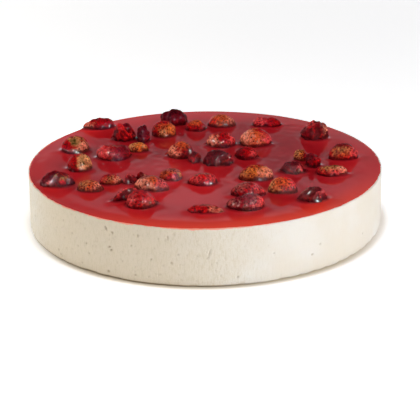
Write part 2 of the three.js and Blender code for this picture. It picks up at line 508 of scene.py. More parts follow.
@dataclass(frozen=True)
class JellyFinish:
    """Clear red jelly: deep where it lies thick, brighter towards its thin rim, and wet; its rim is painted
    lighter towards the back-left and orange towards the front, and it is painted darker where it climbs the
    berries, partly for its depth and partly as shade.
    """

    deep: Shade = (168, 20, 30)
    thin: Shade = (210, 34, 40)
    thin_middle: Triple = (-0.022, -0.055, 0)
    thin_span: Span = Span(0, 95 * MM, 1, 0)
    clouds: Noise = Noise(30, 3)
    cloud_span: Span = Span(0.35, 0.7, 0, 0.3)
    rim: Shade = (200, 30, 38)
    rim_span: Span = Span(80 * MM, 122 * MM)
    # Painted light: the rim is made lighter towards the back-left.
    far: Shade = (226, 34, 42)
    far_side: Triple = (-0.5, 0.866, 0)
    far_span: Span = Span(40 * MM, 140 * MM)
    # Painted light: the rim turns bright orange towards the front.
    front: Shade = (252, 72, 48)
    front_side: Triple = (0.3, -0.954, 0)
    front_span: Span = Span(50 * MM, 130 * MM, 0.1, 1)
    front_reach: Span = Span(104 * MM, 130 * MM)
    edge: Shade = (170, 20, 22)
    edge_span: Span = Span(40.35 * MM, 40.75 * MM, 0.8, 0)
    # Darker where the jelly climbs the berries: partly the deeper red of the heaped jelly, partly painted shade
    # at the berries' feet.
    pool: Shade = (92, 4, 14)
    roughness: float = 0.02
    refraction: float = 1.42
    flesh: Flesh = Flesh(0.15, (1.0, 0.2, 0.15), 1.2 * MM)

    def material(self) -> bpy.types.Material:
        """Makes the finish.

        Returns:
            The material.
        """
        made = Recipe("jelly")
        reach = made.distance()
        thin = made.ramp(made.distance(self.thin_middle), self.thin_span)
        clouds = made.ramp(made.noise(self.clouds), self.cloud_span)
        middle = made.blend(clouds, made.blend(thin, opaque(self.deep), opaque(self.thin)), opaque(self.thin))
        # Painted light: lighter towards the back-left of the rim and orange towards its front.
        backed = made.ramp(made.along(self.far_side), self.far_span)
        outer = made.blend(backed, opaque(self.rim), opaque(self.far))
        colour = made.blend(made.ramp(reach, self.rim_span), middle, outer)
        front = made.product(made.ramp(made.along(self.front_side), self.front_span),
                             made.ramp(reach, self.front_reach))
        layers = ((front, self.front), (made.ramp(made.along(UP), self.edge_span), self.edge),
                  (made.painted(Jelly.POOL), self.pool))
        for share, tone in layers:
            colour = made.blend(share, colour, opaque(tone))
        return made.finish(Base_Color=colour, Roughness=self.roughness, IOR=self.refraction, **self.flesh.sockets)


@dataclass(frozen=True)
class BerryFinish:
    """Berry skin under a wet coat of jelly, coloured by the tint painted on each berry, which holds painted shade
    and sheen too.
    """

    mottle: Noise = Noise(650, 4, 0.7)
    mottle_span: Span = Span(0.34, 0.66, 0.52, 1.36)
    skin: Noise = Noise(900, 2, 0.5)
    skin_depth: float = 0.16 * MM
    roughness: float = 0.5
    coat: float = 0.44
    coat_roughness: float = 0.02
    coat_refraction: float = 1.32
    flesh: Flesh = Flesh(0.15, (1.0, 0.3, 0.2), 1.0 * MM)

    def material(self) -> bpy.types.Material:
        """Makes the finish.

        Returns:
            The material.
        """
        made = Recipe("berry_skin")
        mottle = made.ramp(made.noise(self.mottle), self.mottle_span)
        colour = made.blend(1.0, made.painted(Berry.TINT, "Color"), mottle, "MULTIPLY")
        return made.finish(Base_Color=colour, Roughness=self.roughness,
                           Normal=made.relief(made.noise(self.skin), self.skin_depth),
                           Specular_IOR_Level=0.0, Coat_Weight=self.coat, Coat_Roughness=self.coat_roughness,
                           Coat_IOR=self.coat_refraction, **self.flesh.sockets)


@dataclass(frozen=True)
class PipFinish:
    """Small dark pips."""

    dark: Shade = (50, 0, 5)
    warm: Shade = (104, 16, 10)
    clouds: Noise = Noise(420, 1)
    cloud_span: Span = Span(0.42, 0.62)
    roughness: float = 0.4
    shine: float = 0.02

    def material(self) -> bpy.types.Material:
        """Makes the finish.

        Returns:
            The material.
        """
        made = Recipe("pip")
        clouds = made.ramp(made.noise(self.clouds), self.cloud_span)
        colour = made.blend(clouds, opaque(self.dark), opaque(self.warm))
        return made.finish(Base_Color=colour, Roughness=self.roughness, Specular_IOR_Level=self.shine)


class Piece:
    """A named mesh object that rides on the cake and takes its finish."""

    def __init__(self, name: str, slot: str, material: bpy.types.Material, nodes: tuple[str, ...] = ()) -> None:
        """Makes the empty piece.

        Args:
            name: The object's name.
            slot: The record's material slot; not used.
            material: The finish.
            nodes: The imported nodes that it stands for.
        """
        self.mesh = bpy.data.meshes.new(name)
        self.object = bpy.data.objects.new(name, self.mesh)
        bpy.context.scene.collection.objects.link(self.object)
        self.mesh.materials.append(material)
        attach(self.object, BODY)
        if nodes:
            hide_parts(*nodes)

    def take(self, shape: bmesh.types.BMesh) -> None:
        """Fills the mesh from a finished shape, with smooth faces, and frees the shape.

        Args:
            shape: The shape.
        """
        for face in shape.faces:
            face.smooth = True
        shape.to_mesh(self.mesh)
        shape.free()
        self.mesh.update()

    def read(self, what: str) -> np.ndarray:
        """Reads three numbers for each of the mesh's points.

        Args:
            what: The property's name, co for places or normal for outward directions.

        Returns:
            One row for each point.
        """
        flat = np.empty(len(self.mesh.vertices) * 3)
        self.mesh.vertices.foreach_get(what, flat)
        return flat.reshape(-1, 3)

    def move(self, points: np.ndarray) -> None:
        """Puts the mesh's points where the rows say."""
        self.mesh.vertices.foreach_set("co", points.ravel())
        self.mesh.update()

    def mark(self, name: str, values: np.ndarray) -> None:
        """Paints one number on each point, under a name."""
        self.mesh.attributes.new(name, "FLOAT", "POINT").data.foreach_set("value", values)

    def triangles(self) -> int:
        """Counts the piece's triangles."""
        return sum(len(face.vertices) - 2 for face in self.mesh.polygons)


class Sheet:
    """A flat square grid from -1 to 1, to be bent into a shape."""

    def __init__(self, across: int, up: int) -> None:
        """Makes the grid.

        Args:
            across: How many cells it has along X.
            up: How many it has along Y.
        """
        self.shape = bmesh.new()
        bmesh.ops.create_grid(self.shape, x_segments=across, y_segments=up, size=1)
        self.flat = np.array([vertex.co for vertex in self.shape.verts])

    def bend(self, points: np.ndarray) -> None:
        """Puts the grid's points where the rows say."""
        for vertex, place in zip(self.shape.verts, points):
            vertex.co = place


@dataclass(frozen=True)
class Dent:
    """An open bubble or a scratch in the cream's side, in millimetres and degrees."""

    bearing: float
    height: float
    wide: float
    tall: float
    lean: float = 0
    deep: float = 1.2


@dataclass
class CreamBody:
    """The cream cylinder: nearly straight, with open bubbles, fine scratches and a worn foot."""

    # Painted shade: the dents and pores are painted darker under this attribute, the deeper ones more.
    HOLLOW = "hollow"
    hollow_part: float = 0.5
    hollow_depths: Pair = (0.05 * MM, 0.9 * MM)
    around: int = 1380
    up: int = 68
    merge: float = 0.02 * MM
    foot_rounding: float = 1.0 * MM
    taper: float = 0.75 * MM
    shoulder_rounding: float = 0.25 * MM
    waver: Waver = Waver(0.22 * MM, 0.8)
    foot_wear: float = 0.7 * MM
    foot_height: float = 2.6 * MM
    foot_ripples: Ripples = Ripples(5, 9 * MM)
    foot_ragged: Pair = (-0.2, 1.1)
    drawn: Relief = Relief(0.012 * MM, Ripples(6, 2.2 * MM, (1, 1, 5)))
    slow: Relief = Relief(0.05 * MM, Ripples(7, 30 * MM))
    under_level: float = 0.38 * MM
    pore_seed: int = 11
    pore_count: int = 900
    pore_sizes: Pair = (0.8, 1.3)
    pore_heights: Pair = (1.5, 38)
    pore_lengths: Pair = (0.8, 2.0)
    pore_lean: float = 25
    pore_depths: Pair = (0.2, 0.5)
    smooth_bearing: float = 70
    smooth_span: Pair = (0.32, 0.73)
    smooth_part: float = 0.92
    dent_reach: float = 6
    dent_ragged: float = 0.45
    dent_waves: Pair = (2.7, 2.3)
    dent_fall: Pair = (1.2, 1.5)
    dents: tuple[Dent, ...] = (
        Dent(-30.5, 34.8, 1.2, 3.4, 35, 1.2), Dent(-28.2, 32.4, 1.3, 2.0, 30, 1.1),
        Dent(-20, 33.1, 1.1, 3.0, 0, 0.9), Dent(-11, 33.6, 1.1, 2.8, 5, 0.9),
        Dent(-29.4, 21.8, 2.0, 1.2, 25), Dent(-28.8, 20.0, 1.6, 1.4), Dent(-38, 20.1, 1.3, 1.3, 0, 0.9),
        Dent(-37, 13.3, 1.2, 1.2, 0, 0.9), Dent(-22, 25.7, 1.2, 1.4, 0, 0.8), Dent(1, 23.8, 1.1, 5.6, -14, 0.8),
        Dent(0.4, 20.2, 1.1, 1.6, -8, 0.7), Dent(-10, 16.1, 1.5, 1.4), Dent(-30, 4.0, 1.9, 1.7),
        Dent(-21, 5.0, 1.5, 1.1), Dent(-51, 6.8, 1.4, 1.6), Dent(-50, 4.4, 1.2, 1.4, 0, 0.8),
        Dent(-44, 24, 1.2, 1.2, 0, 0.7), Dent(-16, 17.6, 1.1, 1.2, 0, 0.8), Dent(-8, 22.3, 1.1, 1.3, 0, 0.8),
        Dent(-25, 13.5, 1.1, 1.1, 0, 0.7), Dent(-40, 4.8, 1.1, 1.3, 0, 0.8), Dent(20, 19.9, 1.2, 1.2, 0, 0.7),
        Dent(9, 6.1, 1.2, 1.2, 0, 0.8), Dent(36, 18.8, 1.4, 1.3, 0, 0.8), Dent(33, 13.0, 1.9, 1.5, 0, 0.8),
        Dent(57, 11.8, 1.3, 1.3, 0, 0.8), Dent(118, 15.0, 2.0, 1.8), Dent(150, 27.0, 1.2, 4.0, 10),
        Dent(-112, 22.0, 1.6, 1.6), Dent(-150, 9.0, 2.0, 1.5), Dent(88, 30.0, 1.4, 2.4, 20),
        Dent(-82, 29.0, 1.4, 1.4), Dent(178, 18.0, 1.5, 1.4),
    )

    def build(self) -> Piece:
        """Makes the piece: a grid wrapped round the cake, closed above and below.

        Returns:
            The piece.
        """
        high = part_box("cream_body")[1]
        self.radius = high[0] - self.waver.reach / 2
        self.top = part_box("jelly_glaze")[1][2] - self.under_level
        piece = Piece("cream", "cream", CreamFinish().material(), ("cream_body",))
        shape = self.wrapped()
        bmesh.ops.remove_doubles(shape, verts=shape.verts, dist=self.merge)
        bmesh.ops.holes_fill(shape, edges=[edge for edge in shape.edges if edge.is_boundary], sides=0)
        bmesh.ops.recalc_face_normals(shape, faces=shape.faces)
        piece.take(shape)
        points = piece.read("co")
        # Paints shade into the dents and pores by their depth.
        depth = self.dented(np.arctan2(points[:, 0], -points[:, 1]), points[:, 2])
        piece.mark(self.HOLLOW, self.hollow_part * eased(depth, *self.hollow_depths))
        return piece

    def wrapped(self) -> bmesh.types.BMesh:
        """Bends a grid round the cake and presses its relief in.

        Returns:
            The open wall.
        """
        sheet = Sheet(self.around, self.up)
        angle = np.round(sheet.flat[:, 0] * self.around / 2) / self.around * 2 * math.pi
        radius, height = self.profile(sheet.flat[:, 1])
        reach = radius + (self.waver.at(angle - math.pi / 2) - self.pressed(angle, height))
        sheet.bend(np.column_stack([reach * np.sin(angle), -reach * np.cos(angle), height]))
        return sheet.shape

    def profile(self, along: np.ndarray) -> tuple[np.ndarray, np.ndarray]:
        """Gives the side's outline.

        Args:
            along: Places on it, from its foot at -1 to its shoulder at 1.

        Returns:
            The radius and the height at each place.
        """
        height = (along + 1) / 2 * self.top
        foot = np.clip((self.foot_rounding - height) / self.foot_rounding, 0, 1)
        shoulder = np.clip((height - self.top + self.shoulder_rounding) / self.shoulder_rounding, 0, 1)
        radius = self.radius - self.taper * height / self.top - self.foot_rounding * (1 - np.sqrt(1 - foot ** 2))
        return radius - self.shoulder_rounding * (1 - np.sqrt(1 - shoulder ** 2)), height

    def dented(self, angle: np.ndarray, height: np.ndarray) -> np.ndarray:
        """Gives how deep the open bubbles, scratches and pores reach.

        Args:
            angle: Each point's angle from the front.
            height: Each point's height.

        Returns:
            The depth at each point.
        """
        total = np.zeros(len(angle))
        for dent in [*self.dents, *self.pores()]:
            across = (angle - math.radians(dent.bearing) + math.pi) % (2 * math.pi) - math.pi
            across = across * self.radius / MM
            up = height / MM - dent.height
            near = (np.abs(across) < self.dent_reach) & (np.abs(up) < self.dent_reach)
            lean = math.radians(dent.lean)
            sideways = across[near] * math.cos(lean) + up[near] * math.sin(lean)
            lengthways = up[near] * math.cos(lean) - across[near] * math.sin(lean)
            far = (sideways / dent.wide * 2) ** 2 + (lengthways / dent.tall * 2) ** 2
            far *= 1 + (self.dent_ragged * np.sin(self.dent_waves[0] * sideways + dent.bearing)
                        * np.sin(self.dent_waves[1] * lengthways + dent.height))
            depth = dent.deep * MM * np.exp(-self.dent_fall[0] * far ** self.dent_fall[1])
            total[near] = np.maximum(total[near], depth)
        return total

    def pressed(self, angle: np.ndarray, height: np.ndarray) -> np.ndarray:
        """Gives how deep the wall is pressed in by its dents, its worn foot and drawn lines.

        Args:
            angle: Each point's angle from the front.
            height: Each point's height.

        Returns:
            The depth at each point.
        """
        places = np.column_stack([self.radius * np.sin(angle), -self.radius * np.cos(angle), height])
        ragged = eased(self.foot_ripples.at(places), *self.foot_ragged)
        worn = self.foot_wear * ragged * (1 - eased(height, 0, self.foot_height))
        return self.dented(angle, height) + worn + self.drawn.at(places) + self.slow.at(places)

    def pores(self) -> list[Dent]:
        """Scatters small pores all round the side, few of them where the knife left it smooth.

        Returns:
            The pores.
        """
        draw = np.random.default_rng(self.pore_seed)
        found = [Dent(draw.uniform(-180, 180), draw.uniform(*self.pore_heights), size,
                      size * draw.uniform(*self.pore_lengths), draw.uniform(-self.pore_lean, self.pore_lean),
                      draw.uniform(*self.pore_depths))
                 for size in draw.uniform(*self.pore_sizes, size=self.pore_count)]
        closeness = np.cos(np.radians([pore.bearing - self.smooth_bearing for pore in found]))
        kept = draw.uniform(size=len(found)) > self.smooth_part * eased(closeness, *self.smooth_span)
        return [pore for pore, stays in zip(found, kept) if stays]


@dataclass(frozen=True)
class Outline:
    """How a berry's flesh has settled."""

    taper: float
    pit: float
    pit_width: float
    pinch: float
    lump: float
    fold: float
    wrinkle: float


class Form(Enum):
    """The kinds of berry outline, which the solid model has too."""

    PLUMP = Outline(0.28, 0.08, 0.1, 0, 0.03, 0, 0.1)
    HOLLOW = Outline(0.2, 0.42, 0.16, 0, 0.04, 0, 0.2)
    CRUMPLED = Outline(0.22, 0.12, 0.2, 0, 0.07, 0.14, 1.1)
    FLAT = Outline(0.18, 0.05, 0.2, 0, 0.05, 0.05, 0.3)
    SPLIT = Outline(0.1, 0.05, 0.1, 0.22, 0.03, 0, 0.1)


PLUMP, HOLLOW, CRUMPLED, FLAT, SPLIT = Form


@dataclass(frozen=True)
class Patch:
    """A patch of another tone on a berry: the way that it faces and how far it spreads, in degrees."""

    bearing: float
    tilt: float
    spread: float
    tone: Tone


@dataclass(frozen=True)
class Look:
    """One berry: outline, hull's bearing and tilt, tone, patches, pips, turn, slimness, growth and shift."""

    form: Form
    hull: Pair
    tone: Tone
    patches: tuple[Patch, ...] = ()
    pips: float = 0.8
    turn: float = 0
    slim: float = 1
    growth: float = 1.06
    shift: float = 0


# Painted light: rose and peach patches on the flanks that face the side lamps are partly paler flesh and partly
# painted sheen; ash patches, mostly on the tops, are painted reflection of the light above.
LOOKS: tuple[Look, ...] = (
    Look(PLUMP, (0, 10), CRIMSON, (
        Patch(225, 20, 26, PEACH), Patch(90, 60, 50, PLUM)), 0.6, 10, 0.54),
    Look(HOLLOW, (-90, 55), CRIMSON, (
        Patch(-70, 60, 34, TAN), Patch(-40, 10, 34, PEACH), Patch(-90, 55, 19, MOSS)), 0.9),
    Look(HOLLOW, (-30, 35), CRIMSON, (
        Patch(-30, 30, 58, TAN), Patch(150, 40, 60, CRIMSON), Patch(-55, 42, 15, MOSS)), 0.7),
    Look(CRUMPLED, (30, 45), CRIMSON, (
        Patch(225, 10, 34, ROSE), Patch(-60, 50, 18, OLIVE), Patch(160, 50, 40, WINE)),
        0.7, -8, 0.8, 1),
    Look(PLUMP, (180, 15), ORANGE, (
        Patch(215, 20, 40, OLIVE), Patch(-40, 15, 44, PEACH)), 0.9, -15, 0.72),
    Look(FLAT, (0, 20), CRIMSON, (
        Patch(-90, 25, 40, OLIVE), Patch(-30, 20, 38, PEACH), Patch(210, 20, 30, ROSE)),
        0.8, 20, 0.77),
    Look(HOLLOW, (90, 70), CRIMSON, (
        Patch(218, 20, 40, ROSE), Patch(-20, 30, 50, PLUM), Patch(-85, 75, 15, ASH)), 0.8),
    Look(CRUMPLED, (180, 10), SCARLET, (
        Patch(195, 5, 50, WINE), Patch(30, 50, 50, PLUM)), 0.15),
    Look(CRUMPLED, (60, 30), WINE, (Patch(-50, 5, 40, PLUM),), 0.1),
    Look(FLAT, (180, 5), AMBER, (Patch(200, 20, 50, TAN),), 0.4),
    Look(PLUMP, (90, 20), ORANGE, (
        Patch(-80, 5, 34, TAN), Patch(120, 60, 60, CRIMSON), Patch(-30, 20, 34, AMBER),
        Patch(195, 5, 34, CRIMSON)), 1),
    Look(CRUMPLED, (60, 50), WINE, (
        Patch(-60, 60, 40, INK), Patch(-70, 15, 30, PLUM)), 0.05),
    Look(PLUMP, (30, 20), CRIMSON, (Patch(-80, 80, 36, ORANGE),), 0.2),
    Look(PLUMP, (150, 40), CRIMSON, (
        Patch(215, 20, 44, PEACH), Patch(-70, 75, 34, ORANGE), Patch(-40, 0, 40, WINE)), 0.9),
    Look(CRUMPLED, (-90, 10), CRIMSON, (Patch(210, 60, 40, PLUM),), 0.6),
    Look(CRUMPLED, (20, 40), WINE, (
        Patch(205, 10, 40, PLUM), Patch(-30, 15, 36, CRIMSON), Patch(90, 80, 34, INK)), 0.3),
    Look(CRUMPLED, (160, 20), CRIMSON, (
        Patch(220, 40, 64, ROSE), Patch(0, 20, 40, CRIMSON)), 0.3, 0, 1, 1.3),
    Look(PLUMP, (160, 20), ORANGE, (
        Patch(205, 20, 54, PEACH), Patch(-25, 15, 50, ROSE), Patch(100, 60, 40, ASH)),
        0.9, -15, 0.64),
    Look(FLAT, (150, 40), ORANGE, (
        Patch(120, 70, 46, ASH), Patch(-80, 5, 40, SCARLET)), 0.4, 10, 0.84),
    Look(PLUMP, (170, 20), CRIMSON, (
        Patch(212, 15, 30, ROSE), Patch(-10, 20, 34, SCARLET)), 0.9),
    Look(CRUMPLED, (40, 10), CRIMSON, (
        Patch(160, 70, 50, ROSE), Patch(-90, 10, 26, CRIMSON)), 0.5, 38, 0.46, 1.15, 2.2),
    Look(PLUMP, (0, 15), SCARLET, (
        Patch(212, 25, 44, ROSE), Patch(-30, 20, 36, ROSE), Patch(100, 70, 34, ASH)), 0.6),
    Look(FLAT, (180, 10), CRIMSON, (
        Patch(90, 70, 34, ASH), Patch(-30, 25, 36, PEACH), Patch(210, 15, 50, SCARLET)),
        0.5, -4, 0.48),
    Look(PLUMP, (180, 20), ORANGE, (
        Patch(-10, 20, 38, PEACH), Patch(200, 5, 40, SCARLET)), 0.9),
    Look(SPLIT, (180, 0), CRIMSON, (
        Patch(190, 20, 60, ROSE), Patch(0, 10, 40, CRIMSON)), 0.5),
    Look(PLUMP, (100, 30), CRIMSON, (
        Patch(214, 20, 36, PEACH), Patch(-25, 15, 40, ROSE)), 0.7),
    Look(PLUMP, (70, 20), ORANGE, (
        Patch(212, 30, 40, PEACH), Patch(-20, 15, 44, ROSE), Patch(20, 60, 34, CRIMSON)), 0.25),
    Look(PLUMP, (90, 30), CRIMSON, (Patch(195, 20, 46, PLUM), Patch(-30, 20, 30, ROSE)), 0.8),
    Look(CRUMPLED, (130, 50), PLUM, (
        Patch(150, 60, 40, ROSE), Patch(-25, 25, 30, PEACH), Patch(-90, 20, 30, CRIMSON)), 0.6),
    Look(PLUMP, (30, 30), CRIMSON, (
        Patch(-100, 60, 40, OLIVE), Patch(80, 60, 56, PLUM), Patch(-30, 20, 30, ROSE),
        Patch(-95, 15, 20, ORANGE)), 0.95, 10, 0.77),
    Look(PLUMP, (90, 40), AMBER, (
        Patch(210, 30, 44, TAN), Patch(-10, 10, 44, CRIMSON)), 1),
    Look(CRUMPLED, (60, 50), PLUM, (Patch(-40, 20, 44, CRIMSON), Patch(190, 10, 30, INK)), 0.3),
    Look(CRUMPLED, (0, 30), WINE, (Patch(-30, 20, 36, ROSE),), 0.1),
    Look(HOLLOW, (100, 60), CRIMSON, (
        Patch(-100, 70, 44, OLIVE), Patch(-25, 20, 36, PEACH), Patch(-80, 0, 30, ROSE),
        Patch(-80, 82, 14, MOSS)), 0.8, 3, 0.71),
    Look(PLUMP, (20, 15), AMBER, (
        Patch(-30, 15, 44, PEACH), Patch(190, 30, 40, OLIVE), Patch(110, 60, 44, CRIMSON)), 0.9),
    Look(PLUMP, (150, 20), SCARLET, (
        Patch(210, 20, 44, TAN), Patch(-25, 20, 46, ROSE), Patch(-110, 50, 30, ORANGE)), 0.9),
    Look(PLUMP, (180, 25), CRIMSON, (
        Patch(-25, 25, 44, ROSE), Patch(180, 50, 46, ASH)), 0.9),
    Look(HOLLOW, (140, 60), PLUM, (
        Patch(90, 50, 50, WINE), Patch(-25, 15, 36, ROSE), Patch(212, 10, 24, ASH)), 0.9, 0, 1, 1),
    Look(CRUMPLED, (160, 30), WINE, (
        Patch(150, 60, 36, ASH), Patch(-25, 20, 34, ROSE)), 0.4, 20, 0.73),
    Look(CRUMPLED, (90, 20), CRIMSON, (Patch(-30, 30, 50, PEACH),), 0.6, 0, 1, 1.5),
)


@dataclass
class Berry:
    """One small strawberry, with the same settled outline as its solid, its pips and its tint, into which shade
    and sheen are painted.
    """

    number: int
    look: Look
    level: float
    material: bpy.types.Material
    TINT = "tint"
    FINENESS = 6
    WAIST = 0.2
    SOLE = 1.6
    STEP, ADDED, LIMIT = 1664525, 1013904223, 4294967296
    LUMP_WAVES = (3.1, 3.7, 4.3)
    FOLD_WAVES = (3.0, 2.0)
    FOLD_MEAN = 0.6
    PINCH_WIDTH = 0.25
    FOLDS, FOLD_FLOOR = (100, 8 * MM), -0.5
    LUMPS, LUMP_DEPTH = (150, 5 * MM), 0.22 * MM
    FINE, FINE_DEPTH = (200, 2 * MM), 0.06 * MM
    # The crease part is painted shade in the skin's folds.
    CREASE, CREASE_PART = (0.2 * MM, 0.75 * MM), 0.85
    PIP_SEED = 300
    PIP_PLACES = 210
    PIP_SCATTER = 0.06
    PIP_CLEAR = 1.4 * MM
    PIP_HALO = 0.9 * MM
    PIP_DIMPLE = 0.42 * MM
    PIP_EDGE, PIP_PART = (0.3, 0.9), 0.88
    CROWDING, CROWD_MEAN, CROWD_SWING = (700, 9 * MM), 0.75, 0.35
    BARE_HULL, BARE_PIT = 0.93, 0.86
    WANDER, WANDER_PART = ((400, 7 * MM), (450, 2.6 * MM)), 0.1
    PATCH_BLUR, PATCH_WIDE = 0.24, 40
    RAGGED = (800, 4 * MM)
    # Painted shade: the foot settings darken the berry's foot, and the flank settings redden and darken its lower
    # flanks.
    FOOT_LINE, FOOT_SHARE, FOOT_FADE = 4.1 * MM, 0.42, 2 * MM
    FOOT_RAGGED, FOOT_PART = 0.6 * MM, 0.9
    FLANK, FLANK_RAGGED, FLANK_PART = (2 * MM, 7 * MM), 0.8 * MM, 0.5
    SPECKLE, SPECKLE_PART = (500, 1.6 * MM), 0.2
    SLICE = 1 * MM

    @property
    def name(self) -> str:
        """The name of the berry's solid."""
        return f"berry_{self.number:02d}"

    @property
    def slot(self) -> str:
        """The record's slot for the berry."""
        parts = frame["record"]["subparts"]
        return next(part["material_slot"] for part in parts if part["node"] == self.name)

    @property
    def hull(self) -> np.ndarray:
        """The way that the hull faces before the berry is turned."""
        return direction(self.look.hull[0] - self.look.turn, self.look.hull[1])

    def phases(self) -> list[float]:
        """Draws the berry's own wave phases from its number, as its solid does.

        Returns:
            Four phases.
        """
        state, found = self.number, []
        for _ in range(4):
            state = (state * self.STEP + self.ADDED) % self.LIMIT
            found.append(2 * math.pi * state / self.LIMIT)
        return found

    def rippled(self, seed: int, wavelength: float, points: np.ndarray | None = None) -> np.ndarray:
        """Gives one of the berry's own ripple fields.

        Args:
            seed: The field's seed, to which the berry's number is added.
            wavelength: Its wavelength.
            points: Where it is read, if not at all the berry's points.

        Returns:
            Its value at each point.
        """
        return Ripples(seed + self.number, wavelength).at(self.points if points is None else points)

    def build(self) -> Piece:
        """Makes the berry and keeps what its pips and the jelly need.

        Returns:
            The piece.
        """
        piece = Piece(f"{self.name}_fruit", self.slot, self.material, (self.name,))
        shape = bmesh.new()
        bmesh.ops.create_icosphere(shape, subdivisions=self.FINENESS, radius=1)
        piece.take(shape)
        self.unit = piece.read("co")
        self.unit /= np.linalg.norm(self.unit, axis=1, keepdims=True)
        piece.move(self.sized(self.settled(self.unit)))
        self.points = piece.read("co")
        self.wrinkle(piece)
        self.pips = self.pip_places()
        self.dimple(piece)
        self.paint(piece)
        self.normals = piece.read("normal")
        return piece

    def settled(self, unit: np.ndarray) -> np.ndarray:
        """Moves points to the berry's outline, before it is sized.

        Args:
            unit: The points of a unit ball.

        Returns:
            The moved points.
        """
        form, phase, hull = self.look.form.value, self.phases(), self.hull
        along = unit @ hull
        across = unit - along[:, None] * hull
        narrowing = 1 - form.taper * ((1 - along) / 2) ** 2
        pinch = 1 - form.pinch * np.exp(-((along / self.PINCH_WIDTH) ** 2))
        pit = form.pit * np.exp(-(1 - along) / form.pit_width)
        lumps = sum(np.sin(wave * unit[:, axis] + phase[axis]) for axis, wave in enumerate(self.LUMP_WAVES))
        bend = self.FOLD_WAVES[0] * unit[:, 0] + self.FOLD_WAVES[1] * unit[:, 1] + phase[3]
        crease = np.abs(np.sin(bend)) - self.FOLD_MEAN
        reach = 1 - pit + form.lump * lumps / 3 + form.fold * crease
        ring = np.minimum(1, np.hypot(unit[:, 0], unit[:, 1]))
        flattened = np.where(unit[:, 2] < 0, -np.cbrt(1 - ring ** 3), unit[:, 2])
        shaped = hull * along[:, None] + across * (narrowing * pinch)[:, None]
        shaped[:, 2] += flattened - unit[:, 2]
        return shaped * reach[:, None]

    def sized(self, shaped: np.ndarray) -> np.ndarray:
        """Fits the settled outline into its solid's box, turned as the solid is.

        Args:
            shaped: The outline's points.

        Returns:
            Their places on the cake.
        """
        low, high = (np.array(corner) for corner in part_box(self.name))
        rise, sink = (high[2] - self.level) * self.look.growth, self.level - low[2]
        spare = (high - low) * (self.look.growth - 1) / 2
        shift = self.look.shift * MM * ACROSS
        low, high = low - spare + shift, high + spare + shift
        bottom, top = shaped[:, 2].min(), shaped[:, 2].max()
        middle = (shaped.min(axis=0) + shaped.max(axis=0)) / 2
        scaled = (shaped - middle) / np.ptp(shaped, axis=0) * np.array([1, self.look.slim, 1])
        flat = turned(scaled, self.look.turn)
        waist = self.WAIST * rise
        above = waist + shaped[:, 2] / top * (rise - waist)
        below = waist - np.minimum(1, self.SOLE * shaped[:, 2] / bottom) * (waist + sink)
        z = self.level + np.where(shaped[:, 2] > 0, above, below)
        spans = [(high[axis] - low[axis]) * (v - v.min()) / np.ptp(v) + low[axis]
                 for axis, v in enumerate(flat.T[:2])]
        return np.column_stack([*spans, z])

    def wrinkle(self, piece: Piece) -> None:
        """Presses the skin's folds and small unevenness in.

        Args:
            piece: The berry's piece.
        """
        folds = np.clip(1 - np.abs(self.rippled(*self.FOLDS)), self.FOLD_FLOOR, 1)
        height = (self.look.form.value.wrinkle * MM * (folds - 1) + self.LUMP_DEPTH * self.rippled(*self.LUMPS)
                  + self.FINE_DEPTH * self.rippled(*self.FINE))
        # Keeps how deep each fold sinks, for the shade painted in it.
        self.crease = eased(-height, *self.CREASE)
        self.points = self.points + piece.read("normal") * height[:, None]
        piece.move(self.points)

    def pip_places(self) -> np.ndarray:
        """Picks the points that carry pips: an even spiral about the hull, thinned by a seeded draw.

        Returns:
            The points' indices.
        """
        draw = np.random.default_rng(self.PIP_SEED + self.number)
        steps = np.arange(self.PIP_PLACES)
        height = 1 - 2 * (steps + 0.5) / self.PIP_PLACES
        angle = steps * math.pi * (3 - math.sqrt(5)) + draw.uniform(0, 2 * math.pi)
        ring = np.sqrt(1 - height ** 2)
        spiral = np.column_stack([ring * np.cos(angle), ring * np.sin(angle), height])
        hull = Vector(self.hull)
        toward = np.array(Vector(UP).rotation_difference(hull).to_matrix())
        spiral = (spiral + draw.normal(scale=self.PIP_SCATTER, size=spiral.shape)) @ toward.T
        spiral /= np.linalg.norm(spiral, axis=1, keepdims=True)
        nearest = (spiral @ self.unit.T).argmax(axis=1)
        bare = self.BARE_PIT if self.look.form is HOLLOW else self.BARE_HULL
        crowding = self.CROWD_MEAN + self.CROWD_SWING * self.rippled(*self.CROWDING, self.points[nearest])
        kept = (draw.uniform(size=self.PIP_PLACES) < self.look.pips * crowding) & (spiral @ np.array(hull) < bare)
        kept &= self.points[nearest, 2] > self.level + self.PIP_CLEAR
        return np.unique(nearest[kept])

    def dimple(self, piece: Piece) -> None:
        """Sinks the skin a little round each pip, and keeps how near each point is to one.

        Args:
            piece: The berry's piece.
        """
        self.near_pip = np.zeros(len(self.points))
        for spot in self.points[self.pips]:
            far = np.sum((self.points - spot) ** 2, axis=1)
            self.near_pip = np.maximum(self.near_pip, np.exp(-far / self.PIP_HALO ** 2))
        self.points = self.points - piece.read("normal") * (self.PIP_DIMPLE * self.near_pip)[:, None]
        piece.move(self.points)

    def paint(self, piece: Piece) -> None:
        """Paints the berry's tones on its points: patches, some of them painted sheen, painted shade low on the
        flanks, in the folds and at the dark foot, and pip halos.

        Args:
            piece: The berry's piece.
        """
        colour = self.patched()
        ragged = self.rippled(*self.RAGGED)
        height = self.points[:, 2] - self.level
        line = np.minimum(self.FOOT_LINE, self.FOOT_SHARE * np.ptp(height)) + self.FOOT_RAGGED * ragged
